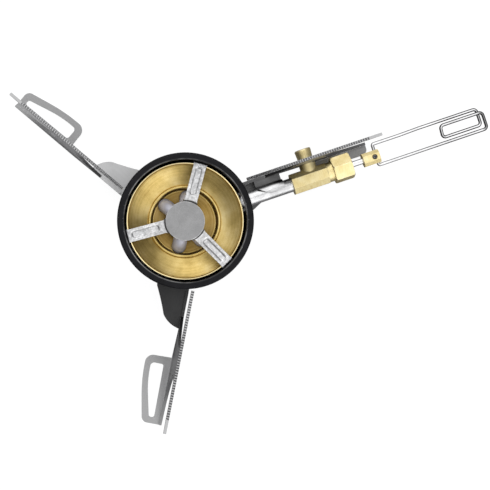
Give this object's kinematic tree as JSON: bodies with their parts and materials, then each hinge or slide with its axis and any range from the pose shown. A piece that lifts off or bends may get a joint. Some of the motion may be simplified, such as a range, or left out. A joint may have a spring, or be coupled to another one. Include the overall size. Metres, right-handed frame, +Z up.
{
  "type": "multi-fuel camping stove",
  "caption": "Compact liquid-fuel and gas camping stove: brass bowl burner in a black cup, flame spreader, folding toothed legs, brass valve with hose port and folding wire handle.",
  "frame": {"origin": "middle of the whole stove's footprint on the ground, legs spread and handle out", "axes": "+X along the fuel line from the burner to the handle, +Y towards the hose port, +Z up"},
  "size_m": [0.2414, 0.1954, 0.066],
  "materials": {
    "leg_steel": "satin",
    "bright_steel": "bright",
    "tube_steel": "polished",
    "spreader_steel": "satin",
    "black_coating": "semi-matt",
    "brass": "machined",
    "spun_brass": "spun and brushed",
    "felt": "matt",
    "graphite": "matt",
    "seal_rubber": "matt"
  },
  "bodies": {
    "stove": {"leg_fixed": "leg_steel", "pivot_bolt": "bright_steel", "pivot_spring": "bright_steel", "pivot_spacers": "bright_steel", "burner_cup": "black_coating", "priming_pad": "felt", "vaporiser_block": "brass", "jet_nozzle": "brass", "mixing_tube": "brass", "bowl_ring_nut": "brass", "burner_bowl": "spun_brass", "flame_spreader": "spreader_steel", "vaporiser_arches": "tube_steel", "fuel_tube": "tube_steel", "fuel_filter": "bright_steel", "tube_clip": "bright_steel", "clip_rivets": "bright_steel", "valve_body": "brass", "hose_port": "brass", "port_gasket": "graphite", "inlet_strainer": "bright_steel", "gland_nut": "brass", "packing_washer": "bright_steel", "gland_packing": "graphite"},
    "left_leg": {"leg_left": "leg_steel"},
    "right_leg": {"leg_right": "leg_steel"},
    "spindle_seal": {"spindle_o_ring": "seal_rubber"},
    "spindle": {"valve_spindle": "bright_steel", "grip_block": "brass", "roll_pin": "bright_steel"},
    "handle": {"wire_handle": "bright_steel"}
  },
  "joints": [
    {"name": "left_leg_fold", "type": "hinge", "parent": "stove", "child": "left_leg", "pos_m": [-0.05474, 0.00338, 0.00695], "axis": [0, 0, 1], "range_deg": [-107, 0]},
    {"name": "right_leg_fold", "type": "hinge", "parent": "stove", "child": "right_leg", "pos_m": [-0.05474, 0.00338, 0.01055], "axis": [0, 0, 1], "range_deg": [0, 98]},
    {"name": "spindle_travel", "type": "slide", "parent": "stove", "child": "spindle_seal", "axis": [1, 0, 0], "range_m": [0, 0.0015]},
    {"name": "spindle_turn", "type": "hinge", "parent": "spindle_seal", "child": "spindle", "pos_m": [0.02486, 0.00388, 0.018], "axis": [1, 0, 0], "range_deg": [0, 720]},
    {"name": "handle_fold", "type": "hinge", "parent": "spindle", "child": "handle", "pos_m": [0.05648, 0.00388, 0.018], "axis": [0, -1, 0], "range_deg": [-14, 145]}
  ],
  "couplings": [
    {"joint": "spindle_travel", "follows": "spindle_turn", "m_per_rad": 0.00011937}
  ]
}
